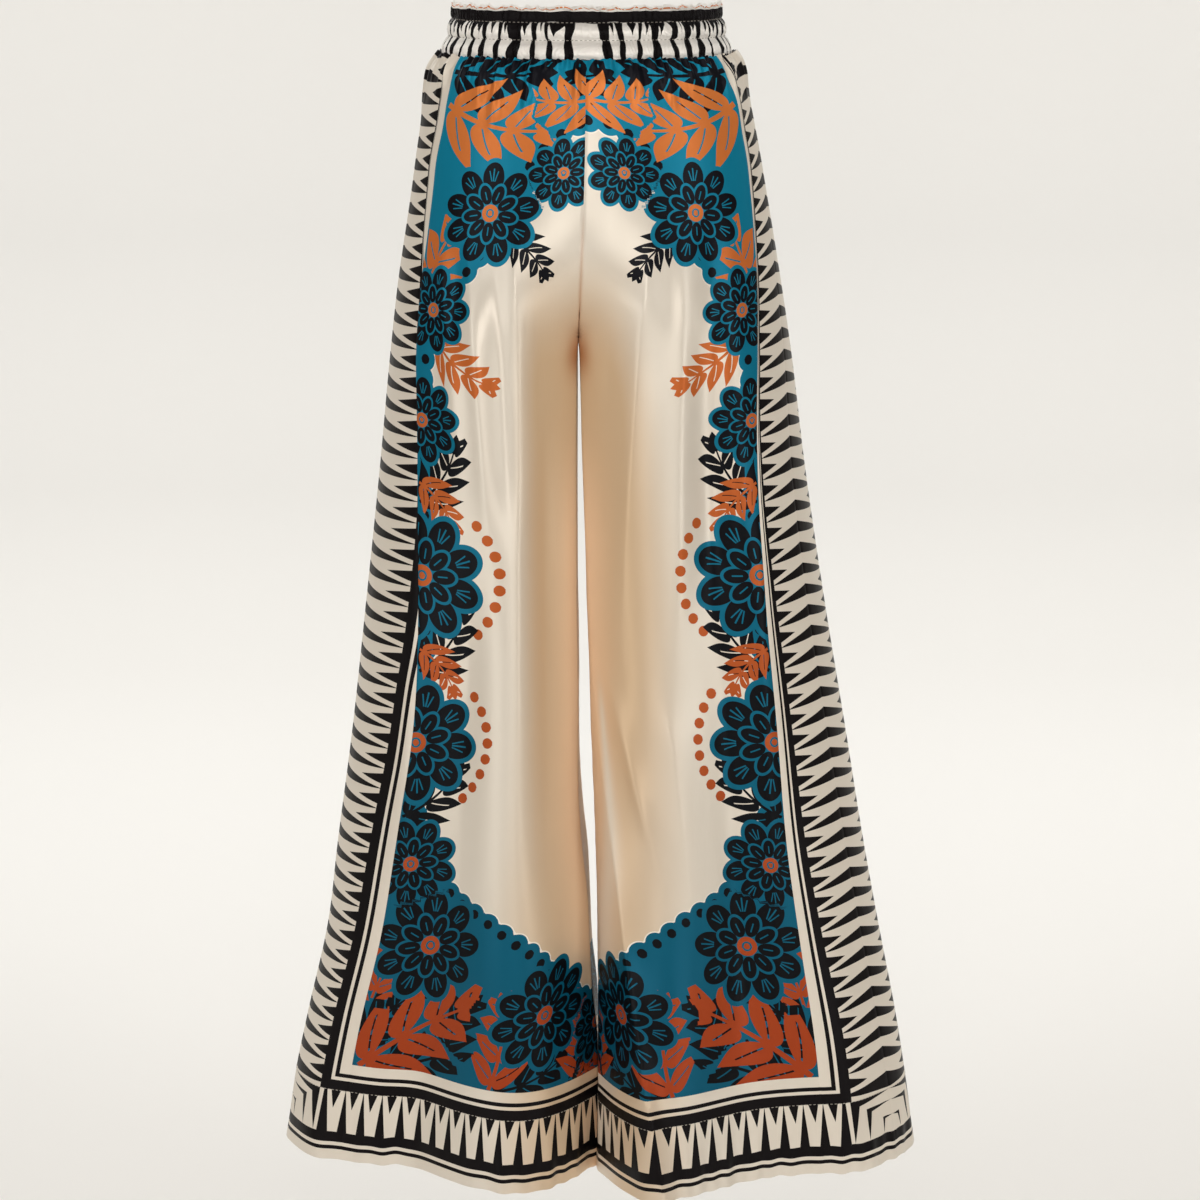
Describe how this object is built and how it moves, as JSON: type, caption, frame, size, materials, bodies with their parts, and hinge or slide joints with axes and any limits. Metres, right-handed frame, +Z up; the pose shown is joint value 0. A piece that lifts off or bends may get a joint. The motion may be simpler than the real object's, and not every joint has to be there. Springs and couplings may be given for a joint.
{
  "type": "palazzo pants",
  "caption": "Silk palazzo pants with a gathered elastic waistband and wide flared legs, hollow as if worn, with printed borders down the sides and round the hems.",
  "frame": {"origin": "middle of the waist seam, inside the wearer's waist", "axes": "+Z up towards the waistband, +X to the wearer's left, the front faces -Y"},
  "size_m": [0.6017, 0.2939, 1.0759],
  "materials": {
    "printed_silk": "silk satin, printed, soft sheen",
    "border_silk": "silk satin, sawtooth border, soft sheen",
    "striped_silk": "silk satin, striped, gathered"
  },
  "bodies": {
    "root": {"waistband": "striped_silk", "right_front_panel": "printed_silk", "right_front_border": "border_silk", "right_back_border": "border_silk", "right_back_panel": "printed_silk", "left_front_panel": "printed_silk", "left_front_border": "border_silk", "left_back_border": "border_silk", "left_back_panel": "printed_silk"}
  },
  "joints": []
}
